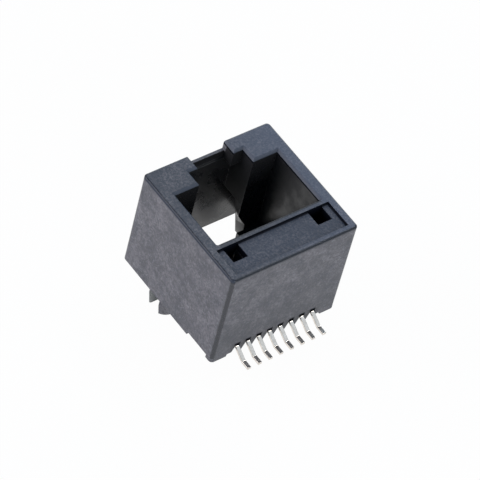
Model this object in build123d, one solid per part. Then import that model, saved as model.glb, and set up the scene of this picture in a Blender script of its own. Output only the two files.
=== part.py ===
from build123d import *

import os

# Upright modular jack for a circuit board, in millimetres.
# X runs along the row of contacts, Y from the lead side to the latch side, and Z up from the board.
# The origin lies on the board, half way between the two pegs.

# Moulded shell
body_width = 14.6
body_depth = 14.5
body_height = 11.95
corner_radius = 0.4
rim_radius = 0.2
front_to_pegs = 9.75
front_wall = 0.95
back_wall = 0.55

# Plug cavity
cavity_width = 11.9
cavity_from_front = 4.25
cavity_depth = 6.9
mouth_chamfer = 0.25
floor_thickness = 1.2

# Latch slot behind the cavity
latch_width = 6.3
latch_reach = 1.73
keeper_gap = 4.2
keeper_height = 2.05
sill_drop = 1.1
sill_thickness = 0.3
sill_step_drop = 0.85

# Blocks beside the latch slot, and the posts under them, with a cranked front edge and a straight rear one
block_foot_height = 5.45
post_depth = 1.0
post_full_height = 3.8
post_slim_height = 1.9
post_inset = 1.18

# Covered front compartment, with its shallow pocket on top
pocket_depth = 0.25
pocket_side_rim = 0.8
pocket_front_rim = 0.6
roof_thickness = 0.75
partition_thickness = 0.45
partition_foot_height = 5.0
lip_height = 1.5
window_width = 1.65
window_depth = 1.75
window_spacing = 9.8

# Catches under the windows
catch_height = 9.15
catch_depth = 0.45
catch_thickness = 0.55
catch_clearance = 0.08

# Underside
side_relief_height = 0.4
side_relief_start = 0.88
side_relief_end = 3.95
foot_width = 1.75
foot_slope = 0.1
apron_height = 0.3
notch_width = 0.54
notch_clearance = 0.25
notch_waist = 0.85
tooth_tip_width = 0.1
tooth_tip_height = 0.12
bar_front = 1.75
bar_rear = 0.65

# Split pegs
peg_spacing = 10.5
peg_radius = 1.63
peg_length = 3.2
peg_straight = 1.6
peg_tip_radius = 1.4
peg_tip_chamfer = 0.2
peg_slot_width = 1.54
peg_slot_rise = 0.2
peg_pad_margin = 0.1

# Contacts: flat strip, bent and jogged
contact_count = 8
lead_pitch = 1.27
spring_pitch = 1.016
strip_width = 0.38
strip_thickness = 0.25
lead_reach = 2.28
foot_length = 0.95
slope_length = 1.28
exit_height = 0.93
ankle_radius = 0.22
shoulder_radius = 0.35
riser_radius = 0.32
jog_start = 2.6
jog_end = 6.4
jog_lead_in = 0.5
jog_radius = 0.35
crown_drop = 1.78
crown_radius = 0.7
crown_overhang = 0.08
brow_radius = 0.6
spring_drop = 9.2
spring_sweep = 3.75

# Contact carrier
carrier_clearance = 0.05
groove_clearance = 0.03
carrier_underside = 0.12
comb_floor_height = 0.5
comb_clearance = 0.07
comb_front_gap = 0.55
comb_rear_wall = 0.45
shoulder_height = 7.0
cheek_thickness = 0.3
catch_arm_width = 1.2
catch_arm_thickness = 0.6
catch_hook_height = 0.7

front = -front_to_pegs
back = front + body_depth
half_width = body_width / 2
cavity_side = cavity_width / 2
cavity_front = front + cavity_from_front
cavity_rear = cavity_front + cavity_depth
partition_front = cavity_front - partition_thickness
back_inside = back - back_wall
latch_side = latch_width / 2
keeper_front = cavity_rear + latch_reach
keeper_underside = body_height - keeper_height
sill_top = body_height - sill_drop
sill_step = sill_top - sill_step_drop
pocket_floor = body_height - pocket_depth
roof_underside = pocket_floor - roof_thickness
lip_underside = body_height - lip_height
wall_inside = front + front_wall
notch_top = exit_height + strip_thickness / 2 + notch_clearance
spring_row_side = (contact_count - 1) / 2 * spring_pitch + strip_width / 2
cheek_inside = spring_row_side + groove_clearance
cheek_outside = cheek_inside + cheek_thickness
throat_side = cheek_outside + catch_clearance
beyond = body_width

carrier_front = wall_inside + carrier_clearance
carrier_rear = -bar_front - carrier_clearance
carrier_side = cavity_side - carrier_clearance
carrier_back = partition_front - catch_clearance
riser_y = carrier_front + groove_clearance + strip_thickness / 2
crown_height = body_height - crown_drop
tip_y = front - lead_reach
ankle_y = tip_y + foot_length
shoulder_y = ankle_y + slope_length
brow_y = partition_front - crown_overhang
free_y = brow_y + spring_sweep
free_height = crown_height - spring_drop
carrier_top = crown_height - strip_thickness / 2 - groove_clearance


def upright(plan, low, high):
    """Raises a plan drawn on the board plane into a solid between two heights."""
    return extrude(Pos(0, 0, low) * plan, amount=high - low)


def plan_box(x_low, x_high, y_low, y_high):
    """Rectangle on the board plane, given by its edges."""
    middle = Pos((x_low + x_high) / 2, (y_low + y_high) / 2)
    return middle * Rectangle(x_high - x_low, y_high - y_low)


def plan_band(half, y_low, y_high):
    """Rectangle on the board plane, centred on the middle of the jack."""
    return plan_box(-half, half, y_low, y_high)


def across(points, half, middle=0.0):
    """Solid with a side outline of (y, z) points, running across the jack."""
    face = make_face(Plane.YZ * Polyline(*points, close=True))
    return Pos(middle, 0, 0) * extrude(face, amount=half, both=True)


def along(points, y_low, y_high):
    """Solid with a front outline of (x, z) points, running from y_low to y_high."""
    face = make_face(Plane.XZ * Polyline(*points, close=True))
    return Pos(0, (y_low + y_high) / 2, 0) * extrude(face, amount=(y_high - y_low) / 2, both=True)


def both_sides(shape):
    """The shape and its mirror image on the other side of the jack."""
    return shape + mirror(shape, about=Plane.YZ)


def contact_places(pitch):
    """Middles of the contacts along X at a given pitch."""
    return [(number - (contact_count - 1) / 2) * pitch for number in range(contact_count)]


def shell():
    """Outer block with rounded corners and a rounded rim."""
    plan = Pos(0, (front + back) / 2) * RectangleRounded(body_width, body_depth, corner_radius)
    block = upright(plan, 0, body_height)
    return fillet(block.faces().sort_by(Axis.Z)[-1].edges(), rim_radius)


def mouth():
    """Everything that the plug and its latch pass through, open at the top and at the bottom."""
    cavity = upright(plan_band(cavity_side, cavity_front, cavity_rear), -beyond, body_height)
    slot = upright(plan_band(latch_side, cavity_rear, keeper_front), keeper_underside, body_height)
    gap = upright(plan_band(keeper_gap / 2, keeper_front, back_inside), keeper_underside, body_height)
    step = upright(plan_band(keeper_gap / 2, back_inside, back - sill_thickness), sill_step, body_height)
    over_sill = upright(plan_band(keeper_gap / 2, back - sill_thickness, beyond), sill_top, body_height)
    chamber = upright(plan_band(latch_side, cavity_rear, back_inside), -beyond, keeper_underside)
    under_blocks = upright(
        plan_band(cavity_side, cavity_rear + post_depth, back_inside), -beyond, block_foot_height
    )
    return cavity + slot + gap + step + over_sill + chamber + under_blocks + between_posts()


def post_outline(place, knee_side, shin_side):
    """Front outline of the room beside one post, at one place along Y."""
    foot_side = latch_side + post_inset
    corners = [
        (0, block_foot_height),
        (latch_side, block_foot_height),
        (knee_side, post_full_height),
        (shin_side, post_slim_height),
        (foot_side, 0),
        (foot_side, -beyond),
        (0, -beyond),
    ]
    return Pos(0, place, 0) * make_face(Plane.XZ * Polyline(*corners, close=True))


def between_posts():
    """Room that slims the two posts towards their feet, from a cranked front edge to a straight rear one."""
    slant = post_inset / block_foot_height
    knee_slant = slant * (block_foot_height - post_full_height)
    shin_slant = slant * (block_foot_height - post_slim_height)
    cranked = post_outline(cavity_rear, latch_side, latch_side + post_inset)
    straight = post_outline(cavity_rear + post_depth, latch_side + knee_slant, latch_side + shin_slant)
    return both_sides(loft([cranked, straight], ruled=True))


def mouth_lead_in():
    """Slanted entry round the top of the cavity and the latch slot, up to the thin partition."""
    outline = (
        plan_band(cavity_side, cavity_front + mouth_chamfer, cavity_rear)
        + plan_band(latch_side, cavity_rear - mouth_chamfer, keeper_front)
        + plan_band(keeper_gap / 2, keeper_front - mouth_chamfer, beyond)
    )
    low = Pos(0, 0, body_height - mouth_chamfer) * outline
    return extrude(low, amount=mouth_chamfer, taper=-45)


def front_compartment():
    """Space for the contact carrier, its throat into the cavity, the pocket and the two windows."""
    room = upright(plan_band(cavity_side, wall_inside, partition_front), -beyond, roof_underside)
    throat = upright(plan_band(throat_side, partition_front, cavity_front), -beyond, lip_underside)
    below = upright(plan_band(cavity_side, partition_front, cavity_front), -beyond, partition_foot_height)
    pocket = upright(
        plan_band(half_width - pocket_side_rim, front + pocket_front_rim, partition_front),
        pocket_floor,
        body_height,
    )
    window_side = window_spacing / 2
    window = upright(
        plan_box(
            window_side - window_width / 2,
            window_side + window_width / 2,
            partition_front - window_depth,
            partition_front,
        ),
        catch_height,
        body_height,
    )
    return room + throat + below + pocket + both_sides(window)


def catches():
    """Two ledges on the partition that the carrier's hooks snap over."""
    outline = [
        (partition_front, catch_height),
        (partition_front - catch_depth, catch_height),
        (partition_front - catch_depth, catch_height - catch_thickness / 2),
        (partition_front, catch_height - catch_thickness - catch_depth / 2),
    ]
    return both_sides(across(outline, window_width / 2, window_spacing / 2))


def underside_relief():
    """Raised edges under the side walls and the lead side, and the notches for the leads."""
    side = upright(
        plan_band(beyond, front + side_relief_start, front + side_relief_end), -beyond, side_relief_height
    )
    tooth_row = upright(plan_band(leads[-1], front - beyond, wall_inside), -beyond, tooth_tip_height)
    foot_edge = half_width - foot_width
    apron = along(
        [
            (leads[-1], -beyond),
            (foot_edge, -beyond),
            (foot_edge, 0),
            (foot_edge - foot_slope, apron_height),
            (leads[-1], apron_height),
        ],
        front - beyond,
        wall_inside,
    )
    relief = side + tooth_row + both_sides(apron)
    for place in leads:
        relief += Pos(place, 0, 0) * lead_notch()
    return relief


def lead_notch():
    """Notch that one lead leaves through, flared below so that the teeth between the leads are pointed."""
    flared = (lead_pitch - tooth_tip_width) / 2
    outline = [
        (0, notch_top),
        (notch_width / 2, notch_top),
        (notch_width / 2, notch_waist),
        (flared, tooth_tip_height),
        (flared, -beyond),
        (0, -beyond),
    ]
    return both_sides(along(outline, front - beyond, wall_inside))


def cavity_floor():
    """Bar under the plug, with a wider pad round the root of each peg."""
    bar = upright(plan_band(cavity_side, -bar_front, bar_rear), 0, floor_thickness)
    pad_edge = peg_spacing / 2 - peg_radius - peg_pad_margin
    pad = upright(plan_box(pad_edge, cavity_side, -bar_front, cavity_rear), 0, floor_thickness)
    return bar + both_sides(pad)


def peg():
    """Board peg before it is split: straight, then tapered to a chamfered tip."""
    profile = make_face(
        Plane.XZ
        * Polyline(
            (0, 0),
            (peg_radius, 0),
            (peg_radius, -peg_straight),
            (peg_tip_radius, -peg_length + peg_tip_chamfer),
            (peg_tip_radius - peg_tip_chamfer, -peg_length),
            (0, -peg_length),
            close=True,
        )
    )
    return Pos(peg_spacing / 2, 0, 0) * revolve(profile, Axis.Z)


def peg_slot():
    """Round-topped slot that lets the two halves of a peg close, up into the pad above it."""
    slot_side = peg_slot_width / 2
    slot_shoulder = peg_slot_rise - slot_side
    outline = make_face(
        Plane.YZ
        * (
            ThreePointArc((-slot_side, slot_shoulder), (0, peg_slot_rise), (slot_side, slot_shoulder))
            + Polyline(
                (slot_side, slot_shoulder),
                (slot_side, -beyond),
                (-slot_side, -beyond),
                (-slot_side, slot_shoulder),
            )
        )
    )
    return Pos(peg_spacing / 2, 0, 0) * extrude(outline, amount=peg_radius + peg_pad_margin, both=True)


def housing():
    """The one black moulding that everything else goes into."""
    body = shell() - mouth() - mouth_lead_in() - front_compartment() - underside_relief()
    body = body + catches() + cavity_floor() + both_sides(peg())
    return body - both_sides(peg_slot())


def strip(points, radii, extra):
    """Bent strip seen from the side, as a face of (y, z), thicker by extra on each side."""
    return Plane.YZ * trace(FilletPolyline(*points, radius=radii), strip_thickness + 2 * extra)


def contact(lead_x, spring_x, extra=0.0):
    """One formed contact: solder foot, riser, sideways jog, crown and spring."""
    half = strip_width / 2 + extra
    foot_z = strip_thickness / 2
    lead = strip(
        [
            (tip_y, foot_z),
            (ankle_y, foot_z),
            (shoulder_y, exit_height),
            (riser_y, exit_height),
            (riser_y, jog_start),
        ],
        [ankle_radius, shoulder_radius, riser_radius],
        extra,
    )
    spring = strip(
        [(riser_y, jog_end), (riser_y, crown_height), (brow_y, crown_height), (free_y, free_height)],
        [crown_radius, brow_radius],
        extra,
    )
    jog_path = FilletPolyline(
        (lead_x, jog_start),
        (lead_x, jog_start + jog_lead_in),
        (spring_x, jog_end - jog_lead_in),
        (spring_x, jog_end),
        radius=jog_radius,
    )
    jog = Plane.XZ * trace(jog_path, 2 * half)
    return (
        Pos(lead_x, 0, 0) * extrude(lead, amount=half, both=True)
        + Pos(0, riser_y, 0) * extrude(jog, amount=strip_thickness / 2 + extra, both=True)
        + Pos(spring_x, 0, 0) * extrude(spring, amount=half, both=True)
    )


def carrier():
    """Moulded carrier: a comb under the cavity, and a tower between two cheeks for the contacts."""
    side_outline = [
        (carrier_front, carrier_underside),
        (carrier_rear, carrier_underside),
        (carrier_rear, floor_thickness),
        (carrier_back, floor_thickness),
        (carrier_back, shoulder_height),
        (carrier_front, shoulder_height),
    ]
    base = across(side_outline, carrier_side)
    tower = upright(plan_band(cheek_outside, carrier_front, carrier_back), shoulder_height, carrier_top)
    crest = tower.faces().sort_by(Axis.Z)[-1].edges().sort_by(Axis.Y)[0]
    tower = fillet(crest, crown_radius - strip_thickness)
    cheek = upright(
        plan_box(cheek_inside, cheek_outside, carrier_front, carrier_back),
        shoulder_height,
        roof_underside - carrier_clearance,
    )
    body = base + tower + both_sides(cheek + catch_arm())
    slot_half = strip_width / 2 + comb_clearance
    slot_front = cavity_front + comb_front_gap
    slot_rear = carrier_rear - comb_rear_wall
    for place in springs:
        slot = plan_box(place - slot_half, place + slot_half, slot_front, slot_rear)
        body -= upright(slot, comb_floor_height, floor_thickness + beyond)
    return body


def catch_arm():
    """Springy arm beside the tower, with a hook that sits above its catch."""
    hook_low = catch_height + catch_clearance
    arm_back = partition_front - catch_depth - catch_clearance
    outline = [
        (arm_back - catch_arm_thickness, shoulder_height),
        (arm_back, shoulder_height),
        (arm_back, hook_low),
        (arm_back + catch_depth, hook_low),
        (arm_back, hook_low + catch_hook_height),
        (arm_back - catch_arm_thickness, hook_low + catch_hook_height),
    ]
    return across(outline, catch_arm_width / 2, window_spacing / 2)


leads = contact_places(lead_pitch)
springs = contact_places(spring_pitch)
os.makedirs("parts", exist_ok=True)
pieces = {"housing": housing()}
holder = carrier()
for number, (lead_x, spring_x) in enumerate(zip(leads, springs), start=1):
    pieces[f"contact_{number}"] = contact(lead_x, spring_x)
    holder -= contact(lead_x, spring_x, groove_clearance)
pieces["contact_carrier"] = holder
for name, piece in pieces.items():
    export_step(piece, f"parts/{name}.step")
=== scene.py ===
import math

import bpy
from mathutils import Matrix, Vector


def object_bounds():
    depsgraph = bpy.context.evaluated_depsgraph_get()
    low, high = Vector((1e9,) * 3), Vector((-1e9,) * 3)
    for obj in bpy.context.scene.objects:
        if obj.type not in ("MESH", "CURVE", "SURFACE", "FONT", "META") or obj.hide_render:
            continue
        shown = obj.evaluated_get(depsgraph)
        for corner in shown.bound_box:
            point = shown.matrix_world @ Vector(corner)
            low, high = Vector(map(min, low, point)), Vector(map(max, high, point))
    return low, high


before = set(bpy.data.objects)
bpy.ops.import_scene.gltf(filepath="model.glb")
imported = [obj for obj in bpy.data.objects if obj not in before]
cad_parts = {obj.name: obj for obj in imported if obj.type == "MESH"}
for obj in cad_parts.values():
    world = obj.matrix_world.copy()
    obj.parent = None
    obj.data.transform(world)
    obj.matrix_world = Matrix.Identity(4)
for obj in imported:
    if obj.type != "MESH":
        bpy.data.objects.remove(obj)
cad_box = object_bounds()

MM = 0.001

# The view of the photograph, fitted to the housing's corners
CAMERA_PLACE = Vector((-169.10, -156.52, 263.63)) * MM
CAMERA_HEADING = math.radians(47.670)
CAMERA_DROP = math.radians(48.377)
CAMERA_ROLL = math.radians(15.603)
LENS = 275.63
SENSOR = 36.0

# The origin's distance behind the housing's front face, in millimetres
FRONT_TO_PEGS = 9.75
# The leads' spacing, in millimetres
LEAD_PITCH = 1.27
CONTACTS = 8

FLOOR_SIZE = 4.0
FLOOR_WHITE = 0.88
FLOOR_SHOWN_WHITE = 0.97

LAMP_TARGET = Vector((0, 0, 6)) * MM


class Field:
    """A shader socket that can be used in arithmetic, where each step adds its Math node."""

    def __init__(self, shading, socket):
        self.shading = shading
        self.socket = socket

    def math(self, operation, *values):
        inputs = dict(enumerate(values))
        return self.shading.add("ShaderNodeMath", {"operation": operation}, inputs)

    def __add__(self, other):
        return self.math("ADD", self, other)

    def __radd__(self, other):
        return self.math("ADD", other, self)

    def __sub__(self, other):
        return self.math("SUBTRACT", self, other)

    def __rsub__(self, other):
        return self.math("SUBTRACT", other, self)

    def __mul__(self, other):
        return self.math("MULTIPLY", self, other)

    def __rmul__(self, other):
        return self.math("MULTIPLY", other, self)

    def __abs__(self):
        return self.math("ABSOLUTE", self)

    def or_more(self, other):
        return self.math("MAXIMUM", self, other)

    def between(self, low, high):
        """0 below low and 1 above high, with a smooth step between them."""
        inputs = {"Value": self, "From Min": low, "From Max": high}
        return self.shading.add("ShaderNodeMapRange", {"interpolation_type": "SMOOTHSTEP"}, inputs)


class Shading:
    """The nodes of a material or a world. Patterns are on object coordinates in millimetres."""

    def __init__(self, owner, output="ShaderNodeOutputMaterial"):
        owner.use_nodes = True
        self.owner = owner
        self.tree = owner.node_tree
        self.tree.nodes.clear()
        self.output = self.tree.nodes.new(output)

    def add(self, kind, settings, inputs, output=0):
        """Adds a node: its settings first, then its inputs. Returns one output."""
        node = self.tree.nodes.new(kind)
        for name, value in settings.items():
            setattr(node, name, value)
        for name, value in inputs.items():
            if isinstance(value, Field):
                self.tree.links.new(value.socket, node.inputs[name])
            else:
                node.inputs[name].default_value = value
        return Field(self, node.outputs[output])

    def place(self, stretch=(1, 1, 1)):
        """Object coordinates in millimetres, stretched along each axis."""
        here = self.add("ShaderNodeTexCoord", {}, {}, "Object")
        scale = [1 / (MM * factor) for factor in stretch]
        return self.add("ShaderNodeMapping", {}, {"Vector": here, "Scale": scale})

    def noise(self, size, detail=2.0, roughness=0.5, stretch=(1, 1, 1)):
        """Noise from 0 to 1 whose blobs are about size millimetres across."""
        inputs = {"Vector": self.place(stretch), "Scale": 1 / size, "Detail": detail, "Roughness": roughness}
        return self.add("ShaderNodeTexNoise", {}, inputs, "Fac")

    def mix(self, factor, first, second):
        """Colour between two colours."""
        return self.add("ShaderNodeMix", {"data_type": "RGBA"}, {0: factor, 6: first, 7: second}, 2)

    def axes(self, vector):
        """The three parts of a vector."""
        return [self.add("ShaderNodeSeparateXYZ", {}, {0: vector}, axis) for axis in "XYZ"]

    def bump(self, height, distance, strength, edge_radius):
        """Normal bent by a height field, over edges that are slightly rounded, all in millimetres."""
        rounded = self.add("ShaderNodeBevel", {"samples": 6}, {"Radius": edge_radius * MM})
        inputs = {"Height": height, "Distance": distance * MM, "Strength": strength, "Normal": rounded}
        return self.add("ShaderNodeBump", {}, inputs)

    def finish(self, surface):
        self.tree.links.new(surface.socket, self.output.inputs["Surface"])
        return self.owner


def colour(red, green, blue):
    return (red, green, blue, 1.0)


class HousingParts:
    """Masks from 0 to 1 that pick out the parts of the housing.

    All lengths are in millimetres: deep is the distance behind the front face, beside the distance
    from the middle plane, and z the height above the board. Each square value is 1 on a face that
    looks straight along its axis.
    """

    def __init__(self, s):
        x, y, z = s.axes(s.place())
        deep = y + FRONT_TO_PEGS
        beside = abs(x)
        normal = s.add("ShaderNodeTexCoord", {}, {}, "Normal")
        square_x, square_y, square_z = [abs(part) for part in s.axes(normal)]
        behind_partition = deep.between(3.85, 3.95)

        # Painted light: the rims are drawn paler and bluer towards the right side
        self.painted_light_toward_right = x.between(-5.0, 9.0)
        front_face = 1 - deep.between(0.3, 0.5)
        # Painted shade: the front face darkens towards the bottom
        self.low_front_painted_shade = front_face * (1 - z.between(1.0, 7.5))

        # Painted shade: the teeth between the leads are darkened, and the tops of the notches are drawn as
        # matte dark shade
        lead_steps = x * (1 / LEAD_PITCH)
        from_lead = abs(lead_steps.math("FRACT", lead_steps) - 0.5) * LEAD_PITCH
        comb = front_face * (1 - beside.between(5.0, 5.3))
        self.shaded_teeth = comb * (1 - z.between(0.9, 1.6))
        self.shaded_notch_top = comb * (1 - from_lead.between(0.22, 0.44)) * (1 - z.between(1.34, 1.54))

        # Painted light: the face inside the split of each peg is drawn paler
        split = (1 - z.between(-0.2, 0.0)) * y.between(0.60, 0.72) * (1 - y.between(0.80, 0.86))
        self.peg_split_painted_light = split * square_y.between(0.9, 0.95)

        # The shallow pocket, with painted shade: its floor darker and bluer, near-black shade along its rear
        # and its sides, and its walls drawn near black
        pocket = z.between(11.5, 11.6) * (1 - z.between(11.9, 11.94)) * (1 - beside.between(6.52, 6.58))
        self.pocket = pocket * deep.between(0.55, 0.62) * (1 - deep.between(3.82, 3.86))
        self.shaded_pocket_corner = self.pocket * deep.between(3.54, 3.74).or_more(beside.between(6.28, 6.44))
        self.shaded_pocket_wall = self.pocket * z.between(11.68, 11.70) * (1 - square_z.between(0.2, 0.5))

        # The rims round the top, with painted shade: the rims darker and bluer, their outer edges darker
        # still, and the back half of the front one darker
        self.rim = z.between(11.86, 11.90)
        side_edge = beside.between(7.08, 7.20) * 0.6
        self.shaded_rim_edge = self.rim * side_edge.or_more(1 - deep.between(0.12, 0.26))
        shaded_rim_back = deep.between(0.34, 0.46) * (1 - deep.between(0.6, 0.7)) * (1 - beside.between(6.4, 6.7))
        self.shaded_rim_back = self.rim * shaded_rim_back

        # Painted shade: the partition's top, drawn darker towards the cavity
        partition = deep.between(3.76, 3.80) * (1 - deep.between(4.27, 4.29))
        partition = partition * (1 - beside.between(5.90, 5.96))
        self.shaded_partition_top = self.rim * partition * (0.22 + 0.63 * deep.between(4.06, 4.16))

        # Painted shade: a dark band at the top of the outer faces, just below the rims, with the sides there
        # and the front corners drawn as matte painted tones without gloss
        outer_side = beside.between(7.22, 7.26)
        outer_face = outer_side.or_more(1 - deep.between(0.04, 0.08)).or_more(deep.between(14.42, 14.46))
        self.shaded_lip = outer_face * z.between(11.56, 11.72)
        self.shaded_side_lip = self.shaded_lip * beside.between(7.0, 7.1)
        shaded_front_corner = beside.between(6.95, 7.05) * (1 - deep.between(0.25, 0.35))
        self.shaded_front_corner = shaded_front_corner * z.between(11.5, 11.7)

        # The outer edges that stand upright or run round the top, above the feet of the walls, drawn darker
        # as painted shade; the rounded ones are also smoother
        above_feet = z.between(0.4, 0.5)
        self.shaded_upright_edge = outer_side * (1 - deep.between(0.20, 0.46)) * above_feet
        near_outside = beside.between(6.80, 6.85).or_more(1 - deep.between(0.45, 0.5))
        near_outside = near_outside.or_more(deep.between(14.0, 14.05))
        squarest = square_x.or_more(square_y).or_more(square_z)
        self.edge = (1 - squarest.between(0.94, 0.999)) * near_outside * above_feet

        # The smooth walls that the mould's core left, in the front compartment and in the cavity, also drawn
        # near black as painted shade
        below_roof = (1 - behind_partition) * (1 - z.between(11.55, 11.66))
        below_mouth = behind_partition * (1 - z.between(11.68, 11.93))
        in_slot = 1 - deep.between(13.97, 14.05) * z.between(10.78, 10.84)
        core = (below_roof + below_mouth) * in_slot * (1 - beside.between(6.15, 6.3)) * z.between(0.02, 0.1)
        self.core = core * deep.between(0.75, 0.85) * (1 - deep.between(14.22, 14.28))
        self.core_side = self.core * square_x.between(0.9, 0.95)

        # The mouth's slope, drawn in a flat paler blue-grey as painted light, and the tops of the side walls
        # below it, drawn as matte dark painted shade
        slope = z.between(11.68, 11.71) * (1 - z.between(11.93, 11.945)) * (1 - beside.between(6.2, 6.24))
        self.slope = slope * behind_partition * (1 - square_z.between(0.85, 0.9))
        shaded_wall_top = z.between(11.46, 11.52) * (1 - z.between(11.68, 11.71)) * (1 - beside.between(6.15, 6.3))
        self.shaded_wall_top = shaded_wall_top * behind_partition * square_x.between(0.8, 0.9)

        # Painted shade: the walls of the windows, and the compartment below them, drawn as matte dark shade
        shaded_window_wall = deep.between(0.75, 0.85) * (1 - behind_partition) * (1 - beside.between(6.3, 6.4))
        shaded_window_wall = shaded_window_wall * z.between(10.8, 10.9) * (1 - z.between(11.68, 11.70))
        self.shaded_window_wall = shaded_window_wall * (1 - square_z.between(0.2, 0.5))
        self.shaded_under_windows = self.core * (1 - behind_partition)


def housing_tone(s, parts, clouds, grain):
    """Base colour of the housing: a mottled grey with thin layers over it, the first one lowest. After the
    grain and the flecks, the layers are painted shade and painted light.
    """
    mottle = s.noise(0.8, 2.0, 0.6).between(0.36, 0.64)
    flecks = s.noise(0.2, 1.0, 0.5).between(0.60, 0.74)
    tone = s.mix(0.6 * clouds + 0.4 * mottle, colour(0.072, 0.072, 0.085), colour(0.176, 0.164, 0.178))
    layers = (
        (0.85 * (1 - grain), colour(0.040, 0.041, 0.048)),
        (flecks * 0.3, colour(0.24, 0.25, 0.275)),
        # Painted shade on the lower front face
        (parts.low_front_painted_shade * (0.65 - 0.4 * grain), colour(0.050, 0.052, 0.058)),
        # Painted shade on the teeth between the leads
        (parts.shaded_teeth * (0.75 - 0.4 * grain), colour(0.020, 0.021, 0.023)),
        # Painted light on the face inside each peg's split
        (parts.peg_split_painted_light * 0.6, colour(0.42, 0.43, 0.40)),
        # Painted shade: the pocket's floor darker and bluer
        (parts.pocket * (0.88 - 0.5 * grain), colour(0.020, 0.030, 0.056)),
        # Painted shade along the pocket's rear, sides and walls
        (parts.shaded_pocket_corner.or_more(parts.shaded_pocket_wall) * 0.94, colour(0.004, 0.006, 0.016)),
        # Painted shade: the rims darker and bluer
        (parts.rim * (0.62 - 0.5 * grain), colour(0.028, 0.037, 0.058)),
        # Painted light: a paler blue on the rims towards the right
        (parts.rim * parts.painted_light_toward_right * 0.3, colour(0.125, 0.158, 0.245)),
        # Painted shade on the rims' outer edges
        (parts.shaded_rim_edge * 0.85, colour(0.008, 0.012, 0.022)),
        # Painted shade: a dark band below the rims
        (parts.shaded_lip * 0.8, colour(0.020, 0.023, 0.032)),
        # Painted shade on the back half of the front rim
        (parts.shaded_rim_back * 0.35, colour(0.020, 0.030, 0.056)),
        # Painted shade on the upright front edges
        (parts.shaded_upright_edge * 0.6, colour(0.020, 0.022, 0.026)),
        # Painted shade on the partition's top towards the cavity
        (parts.shaded_partition_top, colour(0.012, 0.012, 0.014)),
        # Painted shade on the rounded outer edges
        (parts.edge * 0.9, colour(0.012, 0.014, 0.020)),
        # Painted shade: the inner walls drawn near black
        (parts.core, colour(0.014, 0.014, 0.015)),
    )
    for cover, layer_tone in layers:
        tone = s.mix(cover, tone, layer_tone)
    return tone


def housing_plastic():
    """Black glass-filled plastic: spark-eroded outside, smooth along the edges and where the core was."""
    s = Shading(bpy.data.materials.new("housing_plastic"))
    parts = HousingParts(s)
    clouds = s.noise(2.4, 3.0, 0.6).between(0.36, 0.64)
    grain = s.noise(0.24, 3.0, 0.7).between(0.32, 0.68)
    smooth = parts.core.or_more(parts.edge)
    rough_eroded = 0.48 + 0.16 * grain
    rough_smooth = 0.22 + 0.14 * clouds - 0.08 * parts.edge + 0.08 * parts.core_side
    plastic = s.add(
        "ShaderNodeBsdfPrincipled",
        {},
        {
            "Base Color": housing_tone(s, parts, clouds, grain),
            "Roughness": s.add("ShaderNodeMix", {}, {0: smooth, 2: rough_eroded, 3: rough_smooth}),
            "Normal": s.bump(grain * (1 - 0.95 * smooth), 0.02, 0.7, 0.08),
            "IOR": 1.52,
        },
    )

    # Painted shade: where little light gathers, the gloss gives way to a flat near-black matte tone; the
    # mouth's slope, the lips and the front corners get a paler painted tone
    painted_shade_share = parts.shaded_under_windows
    for mask, share in (
        (parts.shaded_window_wall, 0.9),
        (parts.slope, 0.7),
        (parts.shaded_wall_top, 0.9),
        (parts.shaded_notch_top, 0.9),
        (parts.shaded_pocket_wall, 0.9),
        (parts.shaded_pocket_corner, 0.7),
        (parts.shaded_side_lip, 0.85),
        (parts.shaded_front_corner, 0.8),
    ):
        painted_shade_share = painted_shade_share.or_more(mask * share)
    painted_paler = parts.slope.or_more(parts.shaded_lip.or_more(parts.shaded_front_corner) * 0.5)
    painted_matte_tone = s.mix(painted_paler, colour(0.003, 0.004, 0.007), colour(0.088, 0.100, 0.128))
    painted_matte = s.add(
        "ShaderNodeBsdfPrincipled",
        {},
        {"Base Color": painted_matte_tone, "Roughness": 1.0, "Specular IOR Level": 0.0},
    )
    return s.finish(s.add("ShaderNodeMixShader", {}, {0: painted_shade_share, 1: plastic, 2: painted_matte}))


def carrier_plastic():
    """Smoother black plastic of the contact carrier."""
    s = Shading(bpy.data.materials.new("carrier_plastic"))
    grain = s.noise(0.12, 2.0, 0.6)
    plastic = s.add(
        "ShaderNodeBsdfPrincipled",
        {},
        {
            "Base Color": s.mix(grain, colour(0.018, 0.018, 0.020), colour(0.026, 0.026, 0.029)),
            "Roughness": 0.4 + 0.1 * grain,
            "Normal": s.bump(grain, 0.006, 0.5, 0.05),
            "IOR": 1.35,
        },
    )
    return s.finish(plastic)


def contact_metal():
    """Matte tin plate over bronze strip, with drawing lines along the strip and dull blotches."""
    s = Shading(bpy.data.materials.new("contact_metal"))
    lines = s.noise(0.09, 2.0, 0.6, stretch=(1, 14, 14)).between(0.3, 0.7)
    blotches = s.noise(0.3, 3.0, 0.65).between(0.3, 0.7)
    tin = s.mix(blotches, colour(0.68, 0.63, 0.57), colour(0.89, 0.83, 0.77))
    plate = s.add(
        "ShaderNodeBsdfPrincipled",
        {},
        {
            "Base Color": s.mix(0.25 * lines, tin, colour(0.52, 0.50, 0.48)),
            "Metallic": 1.0,
            "Roughness": 0.17 + 0.11 * blotches,
            "Normal": s.bump(lines, 0.003, 0.4, 0.05),
        },
    )
    return s.finish(plate)


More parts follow.
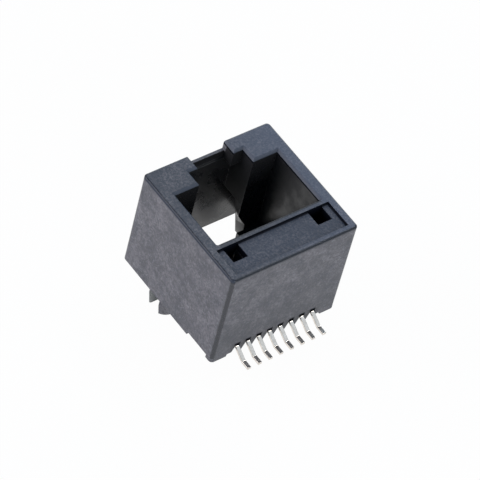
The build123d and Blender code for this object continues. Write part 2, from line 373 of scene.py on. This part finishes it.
def floor_white():
    """Pale floor that shows white to the camera and keeps a faint shadow."""
    s = Shading(bpy.data.materials.new("floor_white"))
    paint = s.add("ShaderNodeBsdfDiffuse", {}, {"Color": colour(FLOOR_WHITE, FLOOR_WHITE, FLOOR_WHITE)})
    shown = s.add("ShaderNodeEmission", {}, {"Color": colour(1, 1, 1), "Strength": 1.0})
    seen = s.add("ShaderNodeLightPath", {}, {}, "Is Camera Ray")
    glossy = s.add("ShaderNodeLightPath", {}, {}, "Is Glossy Ray")
    through = s.add("ShaderNodeLightPath", {}, {}, "Is Transmission Ray")
    factor = (seen + glossy + through) * FLOOR_SHOWN_WHITE
    return s.finish(s.add("ShaderNodeMixShader", {}, {0: factor, 1: paint, 2: shown}))


def make_floor(height):
    """Plain floor under the tips of the pegs."""
    bpy.ops.object.select_all(action="DESELECT")
    bpy.ops.mesh.primitive_plane_add(size=FLOOR_SIZE, location=(0, 0, height))
    floor = bpy.context.object
    floor.name = "floor"
    floor.data.materials.append(floor_white())


def make_world():
    """Studio with a faint blue light, which the camera sees as plain white."""
    s = Shading(bpy.data.worlds.new("studio"), "ShaderNodeOutputWorld")
    seen = s.add("ShaderNodeLightPath", {}, {}, "Is Camera Ray")
    ambient = s.add("ShaderNodeBackground", {}, {"Color": colour(0.42, 0.70, 1.0), "Strength": 0.29})
    shown = s.add("ShaderNodeBackground", {}, {"Color": colour(1, 1, 1), "Strength": 1.0})
    mixed = s.add("ShaderNodeMixShader", {}, {0: seen, 1: ambient, 2: shown})
    bpy.context.scene.world = s.finish(mixed)


def make_lamp(name, place, size, power, tint):
    """Square soft box that faces the middle of the jack."""
    lamp = bpy.data.lights.new(name, "AREA")
    lamp.shape = "SQUARE"
    lamp.size = size
    lamp.energy = power
    lamp.color = tint
    box = bpy.data.objects.new(name, lamp)
    box.location = place
    towards = LAMP_TARGET - Vector(place)
    box.rotation_euler = towards.to_track_quat("-Z", "Y").to_euler()
    bpy.context.scene.collection.objects.link(box)


def make_camera():
    """Camera at the photograph's place, turned by its heading, drop and roll."""
    forward = Vector(
        (
            math.cos(CAMERA_DROP) * math.sin(CAMERA_HEADING),
            math.cos(CAMERA_DROP) * math.cos(CAMERA_HEADING),
            -math.sin(CAMERA_DROP),
        )
    )
    level_right = Vector((math.cos(CAMERA_HEADING), -math.sin(CAMERA_HEADING), 0))
    level_up = level_right.cross(forward)
    right = level_right * math.cos(CAMERA_ROLL) + level_up * math.sin(CAMERA_ROLL)
    up = level_up * math.cos(CAMERA_ROLL) - level_right * math.sin(CAMERA_ROLL)
    data = bpy.data.cameras.new("camera")
    data.lens = LENS
    data.sensor_width = SENSOR
    data.clip_start = 0.01
    data.clip_end = 10.0
    camera = bpy.data.objects.new("camera", data)
    turn = Matrix((right, up, -forward)).transposed()
    camera.matrix_world = Matrix.Translation(CAMERA_PLACE) @ turn.to_4x4()
    bpy.context.scene.collection.objects.link(camera)
    bpy.context.scene.camera = camera


def paint(node, material):
    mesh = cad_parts[node].data
    mesh.materials.clear()
    mesh.materials.append(material)


paint("housing", housing_plastic())
paint("contact_carrier", carrier_plastic())
metal = contact_metal()
for number in range(1, CONTACTS + 1):
    paint(f"contact_{number}", metal)

make_floor(cad_box[0][2])
make_world()
make_lamp("left_soft_box", (-0.30, 0.17, 0.12), 0.30, 1.28, (1.0, 0.965, 1.01))
make_lamp("front_soft_box", (-0.05, -0.34, 0.07), 0.26, 0.9, (1.0, 1.0, 1.01))
make_lamp("back_soft_box", (0.26, 0.22, 0.14), 0.30, 0.6, (0.90, 0.95, 1.0))
make_lamp("high_soft_box", (0.20, -0.19, 0.28), 0.24, 0.12, (1.0, 0.98, 0.95))
make_lamp("small_soft_box", (0.20, 0.0, 0.35), 0.07, 0.19, (1.0, 0.99, 0.97))
make_camera()
bpy.context.scene.view_settings.view_transform = "Standard"
